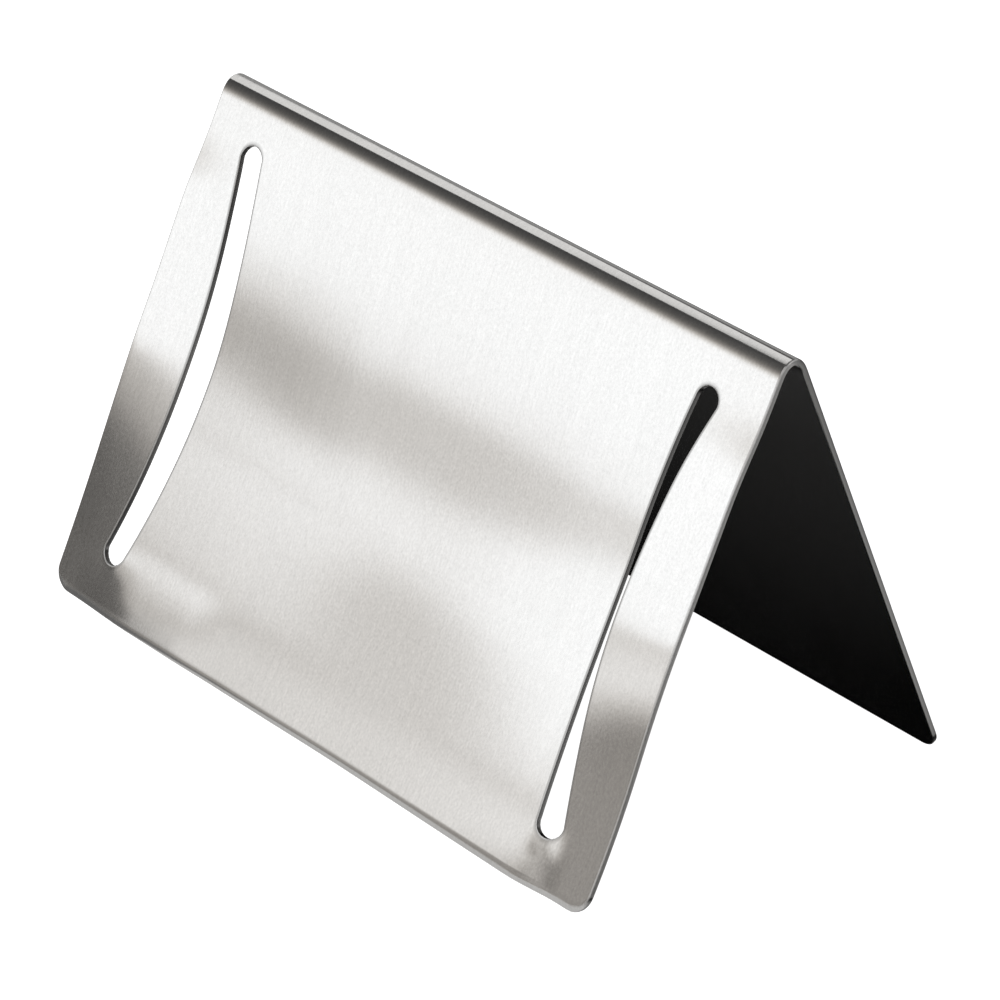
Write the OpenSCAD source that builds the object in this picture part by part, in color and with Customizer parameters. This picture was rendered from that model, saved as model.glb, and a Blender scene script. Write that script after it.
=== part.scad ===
// Place card holder: one strip of brushed sheet, slit twice, pressed and folded
// over into a small tent. It is drawn as the regions that the slits and the
// fold make of the sheet, because these are what move when the sheet flexes.
// The front leaf faces -Y, the ridge runs along X and the feet stand on Z = 0.

/* [Sheet] */
// Width of the holder along its ridge
holder_w = 90; // [84:1:100]
// Straight length of a leaf down its outer face, from the bend to the foot
leaf_len = 61.5; // [60:0.5:66]
// Lean of each leaf from upright, in degrees
lean = 24.5; // [20:0.5:30]
// Thickness of the sheet
sheet_t = 0.7; // [0.5:0.1:1]
// Radius inside the bend at the ridge
bend_r = 1.1; // [0.8:0.1:2]
// Radius of the bottom corners of both leaves
corner_r = 2.5; // [1:0.5:4]

/* [Slots] */
// Distance down the slope from the bend to the slots' mid-height
slot_mid = 30; // [29:0.5:31]
// Half the length of a slot, between the centres of its round ends
slot_half = 23.75; // [22:0.25:24]
// Distance from the holder's middle to a strip's inner edge at mid-height
strip_edge = 35.8; // [34:0.1:36]
// Radius of a strip's curved inner edge
strip_edge_r = 100; // [95:5:140]
// Width of a slot at mid-height, seen square on
slot_gap = 2.4; // [2:0.1:3]
// Radius of the centre panel's curved edge along a slot
panel_edge_r = 150; // [145:5:200]

/* [Forming] */
// Depth that the centre panel is pressed back between the slots
dish_depth = 1.6; // [0.8:0.1:2]
// Distance that each strip is bowed forward at mid-height
strip_bow = 0.4; // [0.2:0.1:0.8]

/* [Flex] */
// Angle left open between the fold and the rear leaf, so that the leaf can flex
flex_gap = 6; // [5:0.5:8]

/* [Hidden] */
$fn = 96;

// Outside radius of the bend, and the height of the bend's axis above the feet
bend_ro = bend_r + sheet_t;
axis_z = leaf_len * cos(lean) - bend_ro * sin(lean);

// Places along the leaf: w runs up the slope from 0 at the bend, so it is
// negative on the leaf, and n is the distance out from the bend's axis
w_mid = -slot_mid;
n_face = bend_ro;

// A slot's two edges at its round ends, and the round end between them
panel_edge = strip_edge - slot_gap;
panel_end = panel_edge + panel_edge_r - sqrt(pow(panel_edge_r, 2) - pow(slot_half, 2));
strip_end = strip_edge + strip_edge_r - sqrt(pow(strip_edge_r, 2) - pow(slot_half, 2));
end_r = (strip_end - panel_end) / 2;
end_x = (strip_end + panel_end) / 2;

// Radii of the pressed curves, from their depth over the slot's length
dish_rad = (pow(slot_half, 2) + pow(dish_depth, 2)) / (2 * dish_depth);
bow_rad = (pow(slot_half, 2) + pow(strip_bow, 2)) / (2 * strip_bow);

// Room around the sheet for the cutting shapes
pad = 6;

// Puts a shape drawn as (x, w, n) onto the front leaf
module on_front() {
    translate([0, 0, axis_z]) rotate([90 - lean, 0, 0]) children();
}

// Draws an outline (x, w) through the whole thickness of the leaf
module through_leaf() {
    translate([0, 0, n_face - pad]) linear_extrude(2 * pad) children();
}

// Draws a profile (w, n) across the whole width of the leaf
module across_leaf() {
    translate([-holder_w, 0, 0]) rotate([90, 0, 90]) linear_extrude(2 * holder_w) children();
}

// Trims the foot level with the table
module trim_foot() {
    difference() {
        children();
        translate([-holder_w, -holder_w, -20]) cube([2 * holder_w, 2 * holder_w, 20]);
    }
}

// Outline of one leaf, with its two rounded bottom corners
module leaf_outline() {
    half = holder_w / 2;
    union() {
        translate([-half, -leaf_len + corner_r]) square([holder_w, leaf_len - corner_r]);
        translate([-half + corner_r, -leaf_len]) square([holder_w - 2 * corner_r, leaf_len]);
        for (s = [-1, 1])
            translate([s * (half - corner_r), -leaf_len + corner_r]) circle(corner_r);
    }
}

// Part of the leaf between the slots' round ends
module slot_span(low_x, high_x) {
    translate([low_x, w_mid - slot_half]) square([high_x - low_x, 2 * slot_half]);
}

// Everything outside the centre panel's edge on the right: the slot and strip
module right_side_cut() {
    intersection() {
        slot_span(panel_edge - 1, holder_w);
        translate([panel_edge + panel_edge_r, w_mid]) circle(panel_edge_r, $fn = 360);
    }
    for (s = [-1, 1])
        translate([end_x, w_mid + s * slot_half]) circle(end_r);
}

// Outline of the right strip
module right_strip_outline() {
    intersection() {
        slot_span(strip_edge - 1, holder_w / 2);
        translate([strip_edge + strip_edge_r, w_mid]) circle(strip_edge_r, $fn = 360);
    }
}

// Profile of the front leaf: flat margins above and below a dished centre
module dished_profile() {
    union() {
        translate([w_mid + slot_half, n_face - sheet_t])
            square([-w_mid - slot_half, sheet_t]);
        translate([-leaf_len, n_face - sheet_t])
            square([leaf_len + w_mid - slot_half, sheet_t]);
        difference() {
            intersection() {
                translate([w_mid - slot_half, n_face - dish_depth - 2 * sheet_t])
                    square([2 * slot_half, dish_depth + 2 * sheet_t]);
                translate([w_mid, n_face - dish_depth - sheet_t + dish_rad])
                    circle(dish_rad, $fn = 360);
            }
            translate([w_mid, n_face - dish_depth + dish_rad]) circle(dish_rad, $fn = 360);
        }
    }
}

// Profile of a strip: the sheet bowed forward
module bowed_profile() {
    difference() {
        intersection() {
            translate([w_mid - slot_half, n_face - sheet_t])
                square([2 * slot_half, sheet_t + 2 * strip_bow]);
            translate([w_mid, n_face + strip_bow - bow_rad]) circle(bow_rad, $fn = 720);
        }
        translate([w_mid, n_face + strip_bow - sheet_t - bow_rad]) circle(bow_rad, $fn = 720);
    }
}

module front_panel() {
    color([0.86, 0.86, 0.85])
    trim_foot() on_front() intersection() {
        through_leaf() difference() {
            leaf_outline();
            right_side_cut();
            mirror([1, 0]) right_side_cut();
        }
        across_leaf() dished_profile();
    }
}

module right_card_strip() {
    color([0.78, 0.78, 0.77])
    on_front() intersection() {
        through_leaf() right_strip_outline();
        across_leaf() bowed_profile();
    }
}

module left_card_strip() {
    color([0.70, 0.70, 0.69])
    on_front() intersection() {
        through_leaf() mirror([1, 0]) right_strip_outline();
        across_leaf() bowed_profile();
    }
}

// The bend, as a sector of a tube from the front leaf round to the rear leaf
module ridge_fold() {
    reach = 4 * bend_ro;
    from = lean + flex_gap;
    to = 180 - lean;
    mid = (from + to) / 2;
    color([0.62, 0.62, 0.61])
    translate([-holder_w / 2, 0, axis_z]) rotate([90, 0, 90]) linear_extrude(holder_w)
    intersection() {
        difference() {
            circle(bend_ro);
            circle(bend_r);
        }
        polygon([
            [0, 0],
            [reach * cos(from), reach * sin(from)],
            [reach * cos(mid), reach * sin(mid)],
            [reach * cos(to), reach * sin(to)]
        ]);
    }
}

module rear_panel() {
    color([0.30, 0.30, 0.30])
    mirror([0, 1, 0]) trim_foot() on_front()
    translate([0, 0, n_face - sheet_t]) linear_extrude(sheet_t) leaf_outline();
}

front_panel();
left_card_strip();
right_card_strip();
ridge_fold();
rear_panel();
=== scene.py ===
"""Looks of the tent-shaped place card holder.

The holder is one brushed steel sheet, so its shape is worked out on the flat
sheet first: x runs along the ridge and s runs along the sheet from the front
foot, over the ridge, to the rear foot. One grid of that sheet is laid out
around the two slots, folded and pressed, given its thickness and rounded
edges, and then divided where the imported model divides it.
"""
import math

import bpy
import numpy as np
from mathutils import Matrix


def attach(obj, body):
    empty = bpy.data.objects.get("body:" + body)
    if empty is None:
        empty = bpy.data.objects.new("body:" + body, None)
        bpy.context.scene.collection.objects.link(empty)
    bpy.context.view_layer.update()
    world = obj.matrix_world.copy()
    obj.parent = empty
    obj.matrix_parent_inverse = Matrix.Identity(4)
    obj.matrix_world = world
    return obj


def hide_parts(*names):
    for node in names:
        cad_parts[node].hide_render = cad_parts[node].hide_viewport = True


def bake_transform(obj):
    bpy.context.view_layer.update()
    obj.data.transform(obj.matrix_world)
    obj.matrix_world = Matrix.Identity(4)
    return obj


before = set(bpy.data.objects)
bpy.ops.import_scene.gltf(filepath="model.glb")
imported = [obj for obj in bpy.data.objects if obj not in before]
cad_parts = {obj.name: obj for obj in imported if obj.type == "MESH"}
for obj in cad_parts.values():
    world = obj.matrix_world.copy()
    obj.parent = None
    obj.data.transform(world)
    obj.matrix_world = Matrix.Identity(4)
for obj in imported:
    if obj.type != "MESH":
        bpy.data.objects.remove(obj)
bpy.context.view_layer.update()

MM = 0.001

# ---------------------------------------------------------------- dimensions
# Millimetres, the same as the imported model's.
HALF_W = 45.0
LEAF = 61.5
LEAN = math.radians(24.5)
SHEET_T = 0.7
BEND_R = 1.8                     # outside radius of the bend
CORNER_R = 2.5
SLOT_MID = 30.0
SLOT_HALF = 23.75
STRIP_EDGE, STRIP_EDGE_R = 35.8, 100.0
PANEL_EDGE, PANEL_EDGE_R = 33.4, 150.0
EDGE_R = 0.22                    # rounding of the cut edges on the outer face
SLOT_DEEP = 0.035                # how deep that rounding is along the slots
BACK_R = 0.10                    # rounding of the cut edges on the inner face
FOOT_ROLL, FOOT_DEEP = 1.3, 0.55 # the front foot's edge rolls in over this length, by this depth
BEND_ARC = BEND_R * (math.pi - 2 * LEAN)
BEND_SOFT = 1.2                  # length over which the bend eases into each leaf
AXIS_Z = LEAF * math.cos(LEAN) - BEND_R * math.sin(LEAN)
# The cut ends of the leaves are square to the sheet, and stand on the floor
FOOT_FRONT = 61.13
FOOT_REAR = 61.18


def smooth(t):
    t = np.clip(t, 0.0, 1.0)
    return t * t * (3 - 2 * t)


def panel_edge(v):
    return PANEL_EDGE + PANEL_EDGE_R - np.sqrt(PANEL_EDGE_R**2 - (v - SLOT_MID) ** 2)


def strip_edge(v):
    return STRIP_EDGE + STRIP_EDGE_R - np.sqrt(STRIP_EDGE_R**2 - (v - SLOT_MID) ** 2)


PANEL_END = float(panel_edge(SLOT_MID + SLOT_HALF))
STRIP_END = float(strip_edge(SLOT_MID + SLOT_HALF))
TIP_X = (PANEL_END + STRIP_END) / 2
TIP_R = (STRIP_END - PANEL_END) / 2


# ------------------------------------------------------- pressed shape of the
# front leaf: distance out from its flat outer face, at x and v down the slope
# Slope of the centre panel down the leaf, in degrees, at places down the leaf
PANEL_V = [0, 3.2, 5, 7, 10, 13, 16, 19, 22, 25, 28, 31, 34, 37, 40, 43, 46, 49, 52, 55, 58, 61, 64]
PANEL_SLOPE = [0, 0, -1.8, -3.3, -4.2, -4.7, -4.8, -4.4, -4.7, -4.3, -2.5, -0.4, 1.05, 2.0, 2.4, 2.8, 3.6, 4.7, 6.0, 6.0, 5.6, 4.5, 4.0]
# Slope of the right strip down the leaf along its outer edge, and of the flatter left one
STRIP_V = [0, 2.5, 5, 7, 9.5, 12, 15, 18, 24, 28, 30, 31, 32.5, 34, 37, 40, 44, 48, 52, 56, 61.5, 64]
STRIP_SLOPE = [0, 0.4, 1.8, 4.8, 5.2, 3.2, -0.6, -0.8, 0.0, 0.4, 0.1, -0.6, -1.6, -2.0, -2.8, -4.4, -5.4, -3.4, -1.6, 0.4, 4.1, 4.1]
LEFT_SLOPE = [0, 0.3, 1.4, 4.5, 5.2, 2.4, -1.6, -1.2, 0.2, 0.8, 0.5, -0.3, -1.4, -1.5, -1.6, -1.8, -2.0, -1.6, -0.9, -0.4, 0.6, 0.6]


def eased(places, values):
    """Smooth curve through the values, and its running sum from the first place, on a fine scale."""
    at = np.linspace(places[0], places[-1], 3201)
    y = np.interp(at, places, values)
    width = 1.1 / (at[1] - at[0])
    reach = np.arange(-int(3 * width), int(3 * width) + 1)
    bell = np.exp(-0.5 * (reach / width) ** 2)
    y = np.convolve(np.pad(y, len(reach) // 2, mode="edge"), bell / bell.sum(), "valid")
    slope = np.tan(np.radians(y))
    total = np.concatenate([[0], np.cumsum((slope[1:] + slope[:-1]) / 2 * np.diff(at))])
    return at, total


PANEL_AT, PANEL_N = eased(PANEL_V, PANEL_SLOPE)
STRIP_AT, STRIP_N = eased(STRIP_V, STRIP_SLOPE)
LEFT_N = eased(STRIP_V, LEFT_SLOPE)[1]


def pressed(x, v):
    ax = np.abs(x)
    v60 = np.clip(v, 0, 60)
    # the centre panel, pressed back between the slots
    inside = smooth(1 + (panel_edge(v60) - ax) / 2.0)
    below = 1 - smooth((ax - np.where(x > 0, 34.0, 30.5)) / np.where(x > 0, 7.0, 11.5))
    inside = inside + (below - inside) * smooth((v - 53.0) / 5.0)
    # below its middle it is hollow from side to side as well, more to the right
    u = (x - 3.5) / np.where(x > 3.5, 22.5, 10.0)
    hollow = np.where(x > 3.5, 0.64 * smooth((v - 35) / 20) + 0.42 * smooth((v - 22) / 19), 0.36 * smooth((v - 37) / 18))
    hollow = hollow * u * u / (1 + u * u)
    # and it kicks up a little more at the lower left
    kick = 0.24 * smooth((-x - 15) / 8) * smooth((v - 51.5) / 8.5)
    # the pressing lies a little lower left of the middle, and higher at the far right
    shift = 0.8 * smooth((-x - 6) / 8) * (1 - smooth((-x - 16) / 16)) - 0.8 * smooth((x - 22) / 12)
    shift = shift * (1 - smooth((v - 27) / 10))
    n = (np.interp(np.clip(v - shift, 0, None), PANEL_AT, PANEL_N) + hollow + kick) * inside
    # the strips, bowed forward, most along their outer edges
    b = ax - strip_edge(v60)
    outside = smooth(1 + b / 2.0)
    outside = outside + (1 - below - outside) * smooth((v - 53.0) / 5.0)
    b = np.clip(b / 8.5, 0, 1)
    bow = np.where(x > 0, np.interp(v, STRIP_AT, STRIP_N) * (0.65 + 0.35 * b), np.interp(v, STRIP_AT, LEFT_N) * (0.35 + 0.65 * b))
    n = n + bow * outside
    return n


# ---------------------------------------------- the fold, as a curve in (y, z)
def bend_curve():
    """The bend from the front leaf to the rear one: s, y, z and the outward normal's angle."""
    half = BEND_ARC / 2
    c1, c2 = half - BEND_SOFT, half + BEND_SOFT
    c = np.linspace(0, c2, 1201)
    rate = np.where(c < c1, 1.0, np.clip((c2 - c) / (c2 - c1), 0, 1)) / BEND_R
    step = c[1] - c[0]
    angle = np.concatenate([[0], np.cumsum((rate[1:] + rate[:-1]) / 2) * step])
    angle *= (math.pi / 2 - LEAN) / angle[-1]
    y = np.concatenate([[0], np.cumsum((np.cos(angle[1:]) + np.cos(angle[:-1])) / 2) * step])
    z = np.concatenate([[0], np.cumsum((np.sin(angle[1:]) + np.sin(angle[:-1])) / 2) * step])
    top = AXIS_Z + BEND_R
    s = np.concatenate([half - c[::-1], half + c[1:]])
    return s, np.concatenate([-y[::-1], y[1:]]), top - np.concatenate([z[::-1], z[1:]]), np.concatenate([math.pi / 2 - angle[::-1], math.pi / 2 + angle[1:]])


BEND_S, BEND_Y, BEND_Z, BEND_A = bend_curve()


def fold(x, s, n):
    """Point and outward normal of the folded sheet at flat (x, s), n out from its outer face."""
    x, s, n = (np.asarray(a, float) for a in (x, s, n))
    h = 1e-3
    v = np.clip(-s, 0, None)
    is_front = s < 0
    f = np.where(is_front, pressed(x, v), 0.0)
    fx = np.where(is_front, (pressed(x + h, v) - pressed(x - h, v)) / (2 * h), 0.0)
    fv = np.where(is_front, (pressed(x, v + h) - pressed(x, v - h)) / (2 * h), 0.0)
    on = np.clip(s, BEND_S[0], BEND_S[-1])
    angle = np.interp(on, BEND_S, BEND_A)
    zero = np.zeros_like(angle)
    out = np.stack([zero, -np.cos(angle), np.sin(angle)], -1)
    along = np.stack([zero, np.sin(angle), np.cos(angle)], -1)      # the way s grows
    base = np.stack([x, np.interp(on, BEND_S, BEND_Y), np.interp(on, BEND_S, BEND_Z)], -1)
    col = lambda a: a[..., None]
    p = base + col(s - on) * along + col(f + n) * out
    m = out - col(fx) * np.array([1.0, 0.0, 0.0]) + col(fv) * along
    return p, m / np.linalg.norm(m, axis=-1, keepdims=True)


# ------------------------------------------------------------ grid of the flat
def spread(near, total, first, grow):
    """Steps from 0 to total that start at first and grow, so that edges are finer than middles."""
    steps = [first]
    while sum(steps) < total:
        steps.append(min(steps[-1] * grow, near))
    at = np.concatenate([[0], np.cumsum(steps)])
    return at * (total / at[-1])


R = EDGE_R
# columns of the right half, as places at the slot's ends; the left half mirrors them
p_in = spread(1.25, PANEL_END - R, 0.10, 1.35)            # in from the panel's edge
cols_panel = (PANEL_END - R) - p_in[::-1]                 # 0 ... panel edge
arc_n = 12                                                # round end of a slot
arc = np.linspace(math.pi, 0, arc_n + 1)
cols_slot = TIP_X + (TIP_R + R) * np.cos(arc[1:-1])
corner = np.linspace(0, math.pi / 2, 9)
cx = HALF_W - CORNER_R
inner = spread(0.8, cx - (STRIP_END + R), 0.10, 1.4)
cols_strip = np.concatenate([STRIP_END + R + inner, cx + (CORNER_R - R) * np.sin(corner[1:])])
NP, NS, NT = len(cols_panel), len(cols_slot), len(cols_strip)
half = np.concatenate([cols_panel, cols_slot, cols_strip])
kind_half = np.array([0] * NP + [1] * NS + [2] * NT)      # panel, slot, strip
x_ref = np.concatenate([-half[:0:-1], half])
kind = np.concatenate([kind_half[:0:-1], kind_half])
side = np.sign(x_ref)
NJ = len(x_ref)
ax_ref = np.abs(x_ref)


# how far round a bottom corner each column is: 0 along the foot, 1 along the side
corner_sin = np.clip((ax_ref - cx) / (CORNER_R - R), 0, 1)
corner_cos = np.sqrt(1 - corner_sin**2)


def foot_line(foot, roll):
    """v on each column of the row that the foot's edge rolls in from, round its two corners."""
    return foot - CORNER_R + (CORNER_R - roll) * corner_cos


def tip_line(which):
    """v on each column of the row that passes round the slots' ends, top (-1) or bottom (+1)."""
    lift = np.sqrt(np.clip((TIP_R + R) ** 2 - (ax_ref - TIP_X) ** 2, 0, None))
    return SLOT_MID + which * (SLOT_HALF + np.where(kind == 1, lift, 0))


def column_x(v):
    """x of every column within the slots' length, following the slots' edges."""
    pe, se = panel_edge(v) - R, strip_edge(v) + R
    x = np.where(kind == 0, ax_ref / (PANEL_END - R) * pe, ax_ref)
    out = HALF_W - R
    x = np.where(kind == 2, out - (out - ax_ref) / (out - (STRIP_END + R)) * (out - se), x)
    return side * x


rows_x, rows_s, rows_tag = [], [], []


def add_row(x, s, tag):
    rows_x.append(np.asarray(x, float))
    rows_s.append(np.broadcast_to(np.asarray(s, float), (NJ,)))
    rows_tag.append(tag)


# front foot up to the slots' bottom ends
from_foot = spread(0.7, FOOT_FRONT - FOOT_ROLL - SLOT_MID - SLOT_HALF, 0.12, 1.32)
foot_v, low_tip = foot_line(FOOT_FRONT, FOOT_ROLL), tip_line(+1)
for t in from_foot / from_foot[-1]:
    add_row(x_ref, -(foot_v + (low_tip - foot_v) * t), "foot")
I_LOW = len(rows_x) - 1
# along the slots
slot_v = SLOT_MID + SLOT_HALF * np.linspace(1, -1, 73)
for v in slot_v[1:-1]:
    add_row(column_x(v), -v, "slot")
I_MID = I_LOW + 36
# the slots' top ends up to the bend
high_tip = tip_line(-1)
for t in np.linspace(0, 1, 10):
    add_row(x_ref, -(high_tip + (BEND_SOFT - high_tip) * t), "top")
I_HIGH = I_LOW + 72
I_TOP = len(rows_x) - 1
# round the bend
for s in np.linspace(-BEND_SOFT, BEND_ARC + BEND_SOFT, 41)[1:]:
    add_row(x_ref, s, "bend")
I_BACK = len(rows_x) - 1
# down the rear leaf
foot_v = foot_line(FOOT_REAR, R)
rear_from_foot = spread(1.6, FOOT_REAR - R, 0.09, 1.35)
rear_t = 1 - rear_from_foot[::-1] / rear_from_foot[-1]
for t in rear_t[1:]:
    add_row(x_ref, BEND_ARC + BEND_SOFT + (foot_v - BEND_SOFT) * t, "rear")
X, S = np.array(rows_x), np.array(rows_s)
NI = len(X)

# ------------------------------------------------------------- cells and loops
kind_cell = np.maximum(kind[:-1], kind[1:])
slot_cell = (kind[:-1] == 1) | (kind[1:] == 1) | (kind[:-1] != kind[1:])
strip_cell = (kind[:-1] == 2) & (kind[1:] == 2)
region = np.full((NI - 1, NJ - 1), "", object)
for i in range(NI - 1):
    for j in range(NJ - 1):
        if I_LOW <= i < I_HIGH:
            if slot_cell[j]:
                continue
            if strip_cell[j]:
                name = "right" if x_ref[j] > 0 else "left"
                region[i, j] = name + ("_strip_lower" if i < I_MID else "_strip_upper")
                continue
        region[i, j] = "front_sheet" if i < I_TOP else "ridge_bend" if i < I_BACK else "rear_sheet"

vid = lambda i, j: i * NJ + j
cells = {(i, j): (vid(i, j), vid(i, j + 1), vid(i + 1, j + 1), vid(i + 1, j))
         for i in range(NI - 1) for j in range(NJ - 1) if region[i, j]}
edge_cell = {}
for key, q in cells.items():
    for k in range(4):
        edge_cell[(q[k], q[(k + 1) % 4])] = key
border_next = {a: b for (a, b) in edge_cell if (b, a) not in edge_cell}
border_prev = {b: a for a, b in border_next.items()}

flat = np.stack([X.ravel(), S.ravel()], -1)
border = sorted(border_next)
slot_of = {v: k for k, v in enumerate(border)}
e_in = np.array([flat[v] - flat[border_prev[v]] for v in border])
e_out = np.array([flat[border_next[v]] - flat[v] for v in border])
unit = lambda a: a / np.linalg.norm(a, axis=-1, keepdims=True)
outward = unit(unit(e_in) + unit(e_out))
outward = np.stack([outward[:, 1], -outward[:, 0]], -1)
# how far each cut edge lies beyond the grid, and how deep its outer rounding is
reach, roll_deep = outward * R, np.full(len(border), R)
for k, v in enumerate(border):
    i, j = divmod(v, NJ)
    if i in (0, NI - 1):
        roll = FOOT_ROLL if i == 0 else R
        reach[k] = R * corner_sin[j] * side[j], roll * corner_cos[j] * (-1 if i == 0 else 1)
        if i == 0:
            roll_deep[k] = R + (FOOT_DEEP - R) * corner_cos[j]
    elif j in (0, NJ - 1):
        reach[k] = R * side[j], 0
    else:
        roll_deep[k] = SLOT_DEEP
rolled = np.array([v < NJ and corner_sin[v] < 0.9 for v in border])
in_slot = np.array([0 < v // NJ < NI - 1 and 0 < v % NJ < NJ - 1 for v in border], float)
reach_size = (reach * outward).sum(1)

# ---------------------------------------------------------------- the vertices
# outer face, inner face, then the rounded rings along every cut edge
ROUND, BACK_ROUND = 6, 3
turn = [math.pi / 2 * k / ROUND for k in range(1, ROUND + 1)]
back_turn = [math.pi / 2 * k / BACK_ROUND for k in range(BACK_ROUND, -1, -1)]
KR = len(turn) + len(back_turn)

NF = NI * NJ
face_p, face_n = fold(flat[:, 0], flat[:, 1], np.zeros(NF))
back_p, _ = fold(flat[:, 0], flat[:, 1], np.full(NF, -SHEET_T))
b_flat = flat[border]
h = 1e-3
p0, b_n = fold(b_flat[:, 0], b_flat[:, 1], np.zeros(len(border)))
p1, _ = fold(b_flat[:, 0] + h * outward[:, 0], b_flat[:, 1] + h * outward[:, 1], np.zeros(len(border)))
b_m = unit(p1 - p0)
pos, nor, uvf, edge = [face_p, back_p], [face_n, -face_n], [flat, flat], [np.zeros(NF), np.zeros(NF)]
# the rounding of a cut edge is given a darker colour than the face, and so is the face just beside it; inside the
# slots this darkening is painted shade, strongest on the slot walls
sheared = np.where(rolled, 0.0, 0.4 + 0.15 * in_slot)
edge_and_slot_shade = [np.zeros(NF), np.zeros(NF)]
edge_and_slot_shade[0][border] = 0.7 * sheared
ring_n = []
for k in range(KR):
    if k < ROUND:
        t = turn[k]
        share, ring = math.sin(t), -roll_deep * (1 - math.cos(t))
        normal = (reach_size * math.cos(t))[:, None] * b_n + (roll_deep * math.sin(t))[:, None] * b_m
    else:
        t = back_turn[k - ROUND]
        share = 1 - BACK_R / reach_size[:, None] * (1 - math.sin(t))
        ring = np.full(len(border), -SHEET_T + BACK_R * (1 - math.cos(t)))
        normal = -math.cos(t) * b_n + math.sin(t) * b_m
    at = b_flat + reach * share
    p, _ = fold(at[:, 0], at[:, 1], ring)
    pos.append(p)
    nor.append(unit(normal))
    uvf.append(at)
    # the foot's roll is still sheet, so only its cut end is as rough as the other edges
    edge.append(np.where(rolled, 0.35, 1.0) if k < ROUND else np.ones(len(border)))
    # painted shade on the slot walls: darkening grows round the outer rounding to full on the cut face, and is half
    # on the inner rounding
    edge_and_slot_shade.append(np.maximum(in_slot * math.sin(turn[k]) ** 3, sheared) if k < ROUND else in_slot * 0.5)
    ring_n.append(ring)
pos, nor = np.concatenate(pos), np.concatenate(nor)
place = np.concatenate(uvf)
edge, edge_and_slot_shade = np.concatenate(edge), np.concatenate(edge_and_slot_shade)
deep = np.concatenate([np.zeros(NF), np.full(NF, -SHEET_T)] + ring_n)
face_id = lambda v: v
back_id = lambda v: NF + v
ring_id = lambda v, k: 2 * NF + k * len(border) + slot_of[v]


def piece_faces(name):
    """Closed skin of one piece: (faces, whether each face is a cap where the sheet is divided)."""
    faces, caps = [], []
    mine = [k for k in cells if region[k] == name]
    for key in mine:
        q = cells[key]
        faces.append([face_id(v) for v in q]); caps.append(0)
        faces.append([back_id(v) for v in q[::-1]]); caps.append(0)
    edges = {(q[k], q[(k + 1) % 4]) for q in (cells[m] for m in mine) for k in range(4)}
    rim = [(a, b) for (a, b) in edges if (b, a) not in edges]
    cut_from, cut_to, rim_from, rim_to = {}, {}, {}, {}
    for a, b in rim:
        if border_next.get(a) == b and (b, a) not in edge_cell:
            line_a = [face_id(a)] + [ring_id(a, k) for k in range(KR)] + [back_id(a)]
            line_b = [face_id(b)] + [ring_id(b, k) for k in range(KR)] + [back_id(b)]
            for k in range(KR + 1):
                faces.append([line_b[k], line_a[k], line_a[k + 1], line_b[k + 1]]); caps.append(0)
            rim_from[a], rim_to[b] = b, a
        else:
            faces.append([face_id(b), face_id(a), back_id(a), back_id(b)]); caps.append(1)
            cut_from[a], cut_to[b] = b, a
    for v in set(rim_to) & set(cut_from):
        faces.append([face_id(v)] + [ring_id(v, k) for k in range(KR)] + [back_id(v)]); caps.append(1)
    for v in set(cut_to) & set(rim_from):
        faces.append(([face_id(v)] + [ring_id(v, k) for k in range(KR)] + [back_id(v)])[::-1]); caps.append(1)
    return faces, np.array(caps)


def make_piece(name, material):
    faces, caps = piece_faces(name)
    used = np.unique(np.concatenate([np.array(f) for f in faces]))
    new = {int(v): k for k, v in enumerate(used)}
    mesh = bpy.data.meshes.new(name)
    mesh.from_pydata((pos[used] * MM).tolist(), [], [[new[v] for v in f] for f in faces])
    mesh.polygons.foreach_set("use_smooth", [True] * len(faces))
    # flat places on the sheet, for the grain: x, s and how far in from the outer face
    a = mesh.attributes.new("sheet_place", "FLOAT_VECTOR", "POINT")
    a.data.foreach_set("vector", np.column_stack([place[used], deep[used]]).astype(np.float32).ravel())
    a = mesh.attributes.new("cut_edge", "FLOAT", "POINT")
    a.data.foreach_set("value", edge[used].astype(np.float32))
    # colour mask of painted shade in the slots and of the darker cut edges
    a = mesh.attributes.new("painted_edge_and_slot_shade", "FLOAT", "POINT")
    a.data.foreach_set("value", edge_and_slot_shade[used].astype(np.float32))
    # unrolled map: the outer face with the edges round it, and the inner face beside it
    low, high = place[used].min(0) - 1.5, place[used].max(0) + 1.5
    layer = mesh.uv_layers.new(name="OFBake")
    uv = np.zeros((len(mesh.loops), 2))
    normals = np.zeros((len(mesh.loops), 3))
    tall = (high[1] - low[1]) > (high[0] - low[0])
    for f, cap, poly in zip(faces, caps, mesh.polygons):
        inner_face = all(NF <= v < 2 * NF for v in f)
        for k, v in enumerate(f):
            at = place[v].copy()
            if v >= NF and not inner_face:
                g = (v - 2 * NF) % len(border) if v >= 2 * NF else slot_of.get(v - NF)
                if g is not None:
                    at = b_flat[g] + outward[g] * (0.05 - deep[v] + 0.4 * (v >= 2 * NF))
                    at = at + outward[g] * max(0.0, reach_size[g] - R)
            t = (at - low) / (high - low)
            if tall:
                t = np.array([t[0] / 2 + (0.5 if inner_face else 0), t[1]])
            else:
                t = np.array([t[0], t[1] / 2 + (0.5 if inner_face else 0)])
            uv[poly.loop_start + k] = t
            normals[poly.loop_start + k] = nor[v]
        if cap:
            normals[poly.loop_start:poly.loop_start + len(f)] = np.array(poly.normal)
    layer.uv.foreach_set("vector", uv.astype(np.float32).ravel())
    mesh.normals_split_custom_set(normals.tolist())
    mesh.materials.append(material)
    mesh.update()
    ob = bpy.data.objects.new(name, mesh)
    bpy.context.scene.collection.objects.link(ob)
    return ob


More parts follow.
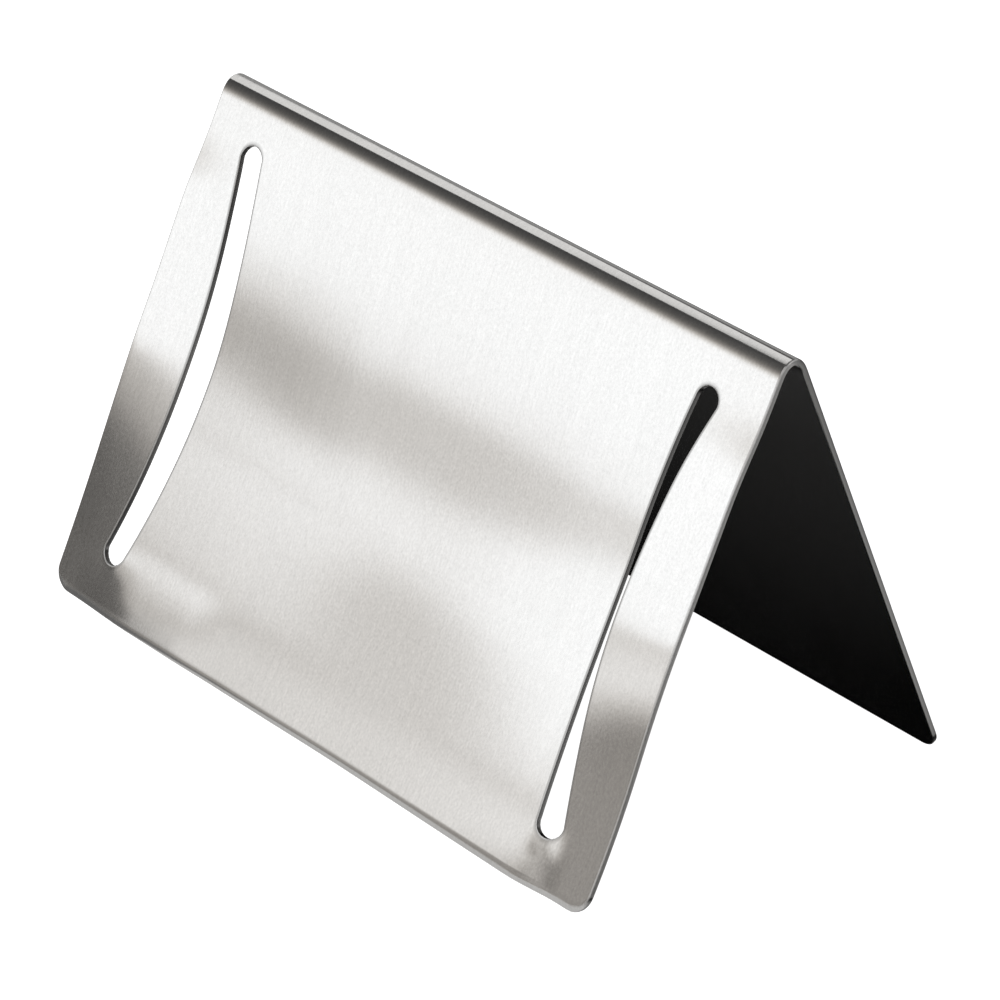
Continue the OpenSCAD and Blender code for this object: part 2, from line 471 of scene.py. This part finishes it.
# -------------------------------------------------------------------- materials
def brushed_steel(name, colour, rough):
    mat = bpy.data.materials.new(name)
    mat.use_nodes = True
    nt = mat.node_tree
    bsdf = nt.nodes["Principled BSDF"]
    bsdf.inputs["Metallic"].default_value = 1.0
    bsdf.inputs["Anisotropic"].default_value = 0.95
    new, link = nt.nodes.new, nt.links.new

    where = new("ShaderNodeAttribute")
    where.attribute_name = "sheet_place"
    cut = new("ShaderNodeAttribute")
    cut.attribute_name = "cut_edge"
    # this mask carries the painted shade in the slots and the darker cut edges
    slot = new("ShaderNodeAttribute")
    slot.attribute_name = "painted_edge_and_slot_shade"

    def grain(sx, ss, detail, rough_n):
        scale = new("ShaderNodeVectorMath")
        scale.operation = "MULTIPLY"
        scale.inputs[1].default_value = (sx, ss, 1.0)
        link(where.outputs["Vector"], scale.inputs[0])
        noise = new("ShaderNodeTexNoise")
        noise.inputs["Scale"].default_value = 1.0
        noise.inputs["Detail"].default_value = detail
        noise.inputs["Roughness"].default_value = rough_n
        link(scale.outputs[0], noise.inputs["Vector"])
        return noise.outputs["Fac"]

    def ramp(value, low, high, to_low, to_high):
        node = new("ShaderNodeMapRange")
        node.inputs["From Min"].default_value = low
        node.inputs["From Max"].default_value = high
        node.inputs["To Min"].default_value = to_low
        node.inputs["To Max"].default_value = to_high
        link(value, node.inputs["Value"])
        return node.outputs["Result"]

    fine = grain(3.7, 2.8, 1.0, 0.5)        # specks
    short = grain(3.3, 0.75, 1.0, 0.5)      # short scratches
    streak = grain(1.5, 0.05, 2.0, 0.5)     # long faint ones
    cloud = grain(0.09, 0.07, 2.0, 0.5)

    def weigh(value, weight, plus):
        node = new("ShaderNodeMath")
        node.operation = "MULTIPLY_ADD"
        link(value, node.inputs[0])
        node.inputs[1].default_value = weight
        link(plus, node.inputs[2])
        return node.outputs[0]

    # colour: specks and scratches a little lighter and darker than the sheet
    marks = weigh(streak, 0.35, weigh(short, 0.6, fine))
    tone = new("ShaderNodeMix")
    tone.data_type = "RGBA"
    link(ramp(marks, 0.40, 1.55, 0.0, 1.0), tone.inputs["Factor"])
    tone.inputs["A"].default_value = tuple(c * 0.85 for c in colour) + (1.0,)
    tone.inputs["B"].default_value = tuple(min(1.0, c * 1.15) for c in colour) + (1.0,)
    worn = new("ShaderNodeMix")
    worn.data_type = "RGBA"
    link(cut.outputs["Fac"], worn.inputs["Factor"])
    link(tone.outputs["Result"], worn.inputs["A"])
    worn.inputs["B"].default_value = tuple(min(1.0, c * 1.06) for c in colour) + (1.0,)
    # painted shade: the slot walls and the cut edges are darkened by that mask, towards about a quarter of the
    # steel's colour
    painted_shade_mix = new("ShaderNodeMix")
    painted_shade_mix.data_type = "RGBA"
    link(slot.outputs["Fac"], painted_shade_mix.inputs["Factor"])
    link(worn.outputs["Result"], painted_shade_mix.inputs["A"])
    painted_shade_mix.inputs["B"].default_value = tuple(c * 0.27 for c in colour) + (1.0,)
    link(painted_shade_mix.outputs["Result"], bsdf.inputs["Base Color"])

    # roughness: the grain, broad handling marks and the sheared edges
    r1 = ramp(fine, 0.3, 0.7, rough - 0.008, rough + 0.012)
    add = new("ShaderNodeMath")
    add.operation = "ADD"
    link(r1, add.inputs[0])
    link(ramp(cloud, 0.35, 0.65, -0.01, 0.015), add.inputs[1])
    sheared = new("ShaderNodeMix")
    sheared.data_type = "FLOAT"
    link(cut.outputs["Fac"], sheared.inputs["Factor"])
    link(add.outputs[0], sheared.inputs["A"])
    sheared.inputs["B"].default_value = 0.34
    link(sheared.outputs["Result"], bsdf.inputs["Roughness"])

    # grain as fine relief
    bump = new("ShaderNodeBump")
    bump.inputs["Strength"].default_value = 0.2
    bump.inputs["Distance"].default_value = 0.000012
    link(short, bump.inputs["Height"])
    link(bump.outputs["Normal"], bsdf.inputs["Normal"])

    # the grain runs down the slope, so the sheet is rougher along the ridge
    along = new("ShaderNodeTangent")
    along.direction_type = "UV_MAP"
    along.uv_map = "OFBake"
    link(along.outputs["Tangent"], bsdf.inputs["Tangent"])
    return mat


steel_front = brushed_steel("brushed_steel_front", (0.66, 0.65, 0.635), 0.12)
steel_strip = brushed_steel("brushed_steel_strip", (0.66, 0.65, 0.635), 0.12)
steel_rear = brushed_steel("brushed_steel_rear", (0.64, 0.63, 0.615), 0.14)

# ----------------------------------------------------------------------- pieces
front = make_piece("front_sheet", steel_front)
ridge = make_piece("ridge_bend", steel_front)
rear = make_piece("rear_sheet", steel_rear)


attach(front, "front_leg")
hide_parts("front_panel")

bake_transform(ridge)
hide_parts("ridge_fold")

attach(rear, "rear_leg")
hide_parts("rear_panel")

for name in ("left", "right"):
    for part, v_end in (("upper", SLOT_MID - SLOT_HALF), ("lower", SLOT_MID + SLOT_HALF)):
        strip = make_piece(f"{name}_strip_{part}", steel_strip)
        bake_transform(strip)
        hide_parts(f"{name}_card_strip")

# ------------------------------------------------------------------------ floor
# a pale sweep: the floor and four far walls of the same white
floor_mesh = bpy.data.meshes.new("floor")
sweep = [(x, y, z) for z in (-0.00005, 5.0) for x, y in ((-4, -4), (4, -4), (4, 4), (-4, 4))]
floor_mesh.from_pydata(sweep, [], [(0, 1, 2, 3)] + [(k, k + 4, (k + 1) % 4 + 4, (k + 1) % 4) for k in range(4)])
floor = bpy.data.objects.new("floor", floor_mesh)
bpy.context.scene.collection.objects.link(floor)
floor.visible_glossy = False
floor.visible_shadow = False
floor.visible_diffuse = False
pale = bpy.data.materials.new("pale_floor")
pale.use_nodes = True
b = pale.node_tree.nodes["Principled BSDF"]
b.inputs["Base Color"].default_value = (0.8, 0.8, 0.8, 1)
b.inputs["Roughness"].default_value = 1.0
b.inputs["Specular IOR Level"].default_value = 0.0
b.inputs["Emission Color"].default_value = (1, 1, 1, 1)
b.inputs["Emission Strength"].default_value = 0.97
pale.cycles.emission_sampling = "NONE"
floor_mesh.materials.append(pale)

# ------------------------------------------------------------------------ light
world = bpy.data.worlds.new("studio")
bpy.context.scene.world = world
world.use_nodes = True
wn = world.node_tree
bg = wn.nodes["Background"]
coord = wn.nodes.new("ShaderNodeTexCoord")
sep = wn.nodes.new("ShaderNodeSeparateXYZ")
wn.links.new(coord.outputs["Generated"], sep.inputs[0])
wr = wn.nodes.new("ShaderNodeMapRange")
wr.inputs["From Min"].default_value = -0.35
wr.inputs["From Max"].default_value = 0.10
wr.inputs["To Min"].default_value = 0.0015
wr.inputs["To Max"].default_value = 0.075
wn.links.new(sep.outputs["Z"], wr.inputs["Value"])
wn.links.new(wr.outputs["Result"], bg.inputs["Color"])


def softbox(name, az, el, dist, width, height, radiance, low=None):
    """Rectangular soft light seen from the holder at az degrees left of front and el above the floor.

    Its lower part is low times as bright as its upper part, where low is given."""
    a, e = math.radians(az), math.radians(el)
    to = np.array([-math.sin(a) * math.cos(e), -math.cos(a) * math.cos(e), math.sin(e)])
    at = np.array([0.0, 0.0, 0.03]) + dist * to
    light = bpy.data.lights.new(name, "AREA")
    light.shape = "RECTANGLE"
    light.size, light.size_y = width, height
    light.energy = radiance * math.pi * width * height
    if low is not None:
        fade_light(light, 0.2, 0.8, low)
    ob = bpy.data.objects.new(name, light)
    right = np.array([math.cos(a), -math.sin(a), 0.0])
    up = np.cross(to, right)
    ob.matrix_world = Matrix([[right[k], up[k], to[k], at[k]] for k in range(3)] + [[0, 0, 0, 1]])
    bpy.context.scene.collection.objects.link(ob)
    ob.visible_camera = False
    return ob


WALL_X = (-122, -107, -94, -68, -40, -30, -22, 14, 46)


def wall(name, y, x0, x1, z0, z1):
    """Soft light wall in front of the holder, parallel to its ridge: bright above, dim below, darkest at its ends."""
    width, height = x1 - x0, z1 - z0
    light = bpy.data.lights.new(name, "AREA")
    light.shape = "RECTANGLE"
    light.size, light.size_y = width, height
    light.energy = math.pi * width * height
    light.use_nodes = True
    nt = light.node_tree
    emit = nt.nodes["Emission"]
    geo = nt.nodes.new("ShaderNodeNewGeometry")
    part = nt.nodes.new("ShaderNodeSeparateXYZ")
    nt.links.new(geo.outputs["Parametric"], part.inputs[0])

    def ramp(value, a, b, c, d, kind="LINEAR"):
        node = nt.nodes.new("ShaderNodeMapRange")
        node.interpolation_type = kind or "LINEAR"
        node.clamp = kind is not None
        for key, val in (("From Min", a), ("From Max", b), ("To Min", c), ("To Max", d)):
            node.inputs[key].default_value = val
        nt.links.new(value, node.inputs["Value"])
        return node.outputs["Result"]

    def op(kind, a, b):
        node = nt.nodes.new("ShaderNodeMath")
        node.operation = kind
        for k, val in enumerate((a, b)):
            if isinstance(val, (int, float)):
                node.inputs[k].default_value = val
            else:
                nt.links.new(val, node.inputs[k])
        return node.outputs[0]

    def across(*values):
        """A level that changes along the wall, given at WALL_X."""
        node = nt.nodes.new("ShaderNodeValToRGB")
        low, high = min(values) - 0.01, max(values) + 0.01
        stops = node.color_ramp.elements
        while len(stops) < len(values):
            stops.new(0.5)
        for stop, at, val in zip(stops, WALL_X, values):
            stop.position = (at - x0 * 1000) / (width * 1000)
            c = (val - low) / (high - low)
            stop.color = (c, c, c, 1)
        nt.links.new(part.outputs["X"], node.inputs[0])
        grey = nt.nodes.new("ShaderNodeSeparateColor")
        nt.links.new(node.outputs[0], grey.inputs[0])
        return ramp(grey.outputs[0], 0, 1, low, high)

    z = ramp(part.outputs["Y"], 0, 1, z0 * 1000, z1 * 1000)
    base = across(0.07, 0.11, 0.34, 0.44, 0.28, 0.13, 0.38, 0.18, 0.9)
    dim = across(0.63, 0.63, 0.80, 0.75, 0.92, 0.95, 0.88, 0.88, 0.9)
    rise = ramp(op("SUBTRACT", z, across(32, 29.7, 6, 0, 18, 24.5, 24, 28, 20)), -7.5, 7.5, 0, 1, "SMOOTHSTEP")
    white = op("SUBTRACT", z, across(41.6, 40.4, 39.9, 40.5, 38.4, 41.0, 44.0, 44.0, 44.0))
    white = ramp(op("DIVIDE", white, across(4.5, 4.5, 4.2, 3.6, 2.5, 2.3, 2.0, 2.0, 2.0)), -1, 1, 0, 1, "SMOOTHSTEP")
    # a little lighter again below the dim band that lies under the bright part
    lift = op("ADD", dim, ramp(z, 29.0, 38.0, 0.17, 0.0, "SMOOTHSTEP"))
    level = op("ADD", base, op("MULTIPLY", op("SUBTRACT", lift, base), rise))
    level = op("ADD", level, op("MULTIPLY", op("SUBTRACT", across(1.38, 1.37, 1.37, 1.39, 1.44, 1.42, 1.38, 1.38, 1.38), dim), white))
    # above the bright band it fades out, over the upper part of the wall
    fade = op("POWER", op("MAXIMUM", ramp(z, 76, 76 + 18.6, 0, 1, None), 0.0), 2.3)
    level = op("DIVIDE", level, op("ADD", fade, 1.0))
    nt.links.new(level, emit.inputs["Strength"])
    # the dim light is a little warmer than the bright
    tint = nt.nodes.new("ShaderNodeCombineColor")
    tint.inputs["Green"].default_value = 1.0
    nt.links.new(ramp(level, 0.1, 1.41, 1.075, 0.980), tint.inputs["Red"])
    nt.links.new(ramp(level, 0.1, 1.41, 0.915, 1.022), tint.inputs["Blue"])
    nt.links.new(tint.outputs[0], emit.inputs["Color"])
    ob = bpy.data.objects.new(name, light)
    # faces the holder, that is towards +Y
    ob.matrix_world = Matrix([[1, 0, 0, (x0 + x1) / 2], [0, 0, -1, y], [0, 1, 0, (z0 + z1) / 2], [0, 0, 0, 1]])
    bpy.context.scene.collection.objects.link(ob)
    ob.visible_camera = False
    return ob


def fade_light(light, a, b, low):
    """Makes a light low times as bright below a of its height as above b of it."""
    light.use_nodes = True
    nt = light.node_tree
    geo = nt.nodes.new("ShaderNodeNewGeometry")
    part = nt.nodes.new("ShaderNodeSeparateXYZ")
    fade = nt.nodes.new("ShaderNodeMapRange")
    fade.interpolation_type = "SMOOTHSTEP"
    for key, val in (("From Min", a), ("From Max", b), ("To Min", low), ("To Max", 1.0)):
        fade.inputs[key].default_value = val
    nt.links.new(geo.outputs["Parametric"], part.inputs[0])
    nt.links.new(part.outputs["Y"], fade.inputs["Value"])
    nt.links.new(fade.outputs["Result"], nt.nodes["Emission"].inputs["Strength"])


def bounce(name, x0, x1, y0, y1, z, radiance):
    """Light that comes up off the table, from below the floor so that only steep reflections meet it."""
    light = bpy.data.lights.new(name, "AREA")
    light.shape = "RECTANGLE"
    light.size, light.size_y = x1 - x0, y1 - y0
    light.energy = radiance * math.pi * (x1 - x0) * (y1 - y0)
    ob = bpy.data.objects.new(name, light)
    ob.matrix_world = Matrix([[1, 0, 0, (x0 + x1) / 2], [0, -1, 0, (y0 + y1) / 2], [0, 0, -1, z], [0, 0, 0, 1]])
    bpy.context.scene.collection.objects.link(ob)
    ob.visible_camera = False
    return ob


wall("key_wall", -0.1057, -0.32, 0.16, -0.016, 0.26)
softbox("ridge_light", 110, 44, 0.6, 0.46, 0.34, 0.90)
softbox("ridge_low", 135, 9, 0.6, 0.4, 0.34, 0.28)
softbox("side_right", -90, 14, 0.6, 0.8, 0.5, 0.8)
bounce("foot_bounce", -0.046, 0.06, -0.105, -0.020, -0.015, 0.64)
bounce("corner_bounce", -0.16, -0.046, -0.105, -0.020, -0.015, 0.16)
bounce("side_bounce", 0.10, 0.24, 0.03, 0.20, -0.06, 0.42)
inner = bounce("inner_bounce", -0.20, -0.03, -0.045, 0.03, -0.10, 0.022)
fade_light(inner.data, 0.10, 0.52, 0.0)
bounce("rear_bounce", -0.15, 0.045, 0.045, 0.30, -0.06, 0.45)
softbox("front_high", -15, 46, 0.9, 0.7, 0.6, 1.1)
softbox("back_right", 225, 22, 0.8, 0.9, 0.6, 1.25, low=0.35)

# ----------------------------------------------------------------------- camera
cam = bpy.data.cameras.new("camera")
cam.sensor_fit = "HORIZONTAL"
cam.sensor_width = 36.0
cam.lens = 5090.908 / 1000 * 36
cam.clip_start, cam.clip_end = 0.01, 20
a, e, r = (math.radians(k) for k in (47.55843, 28.88101, 1.80642))
back = np.array([math.sin(a) * math.cos(e), -math.cos(a) * math.cos(e), math.sin(e)])
right = np.array([math.cos(a), math.sin(a), 0.0])
up = np.cross(back, right)
right, up = math.cos(r) * right + math.sin(r) * up, -math.sin(r) * right + math.cos(r) * up
eye = np.array([0, 0, 30.0]) + 0.71391 * right - 7.53675 * up + 558.43651 * back
camera = bpy.data.objects.new("camera", cam)
camera.matrix_world = Matrix([[right[k], up[k], back[k], eye[k] * MM] for k in range(3)] + [[0, 0, 0, 1]])
bpy.context.scene.collection.objects.link(camera)
bpy.context.scene.camera = camera
bpy.context.scene.view_settings.view_transform = "Standard"
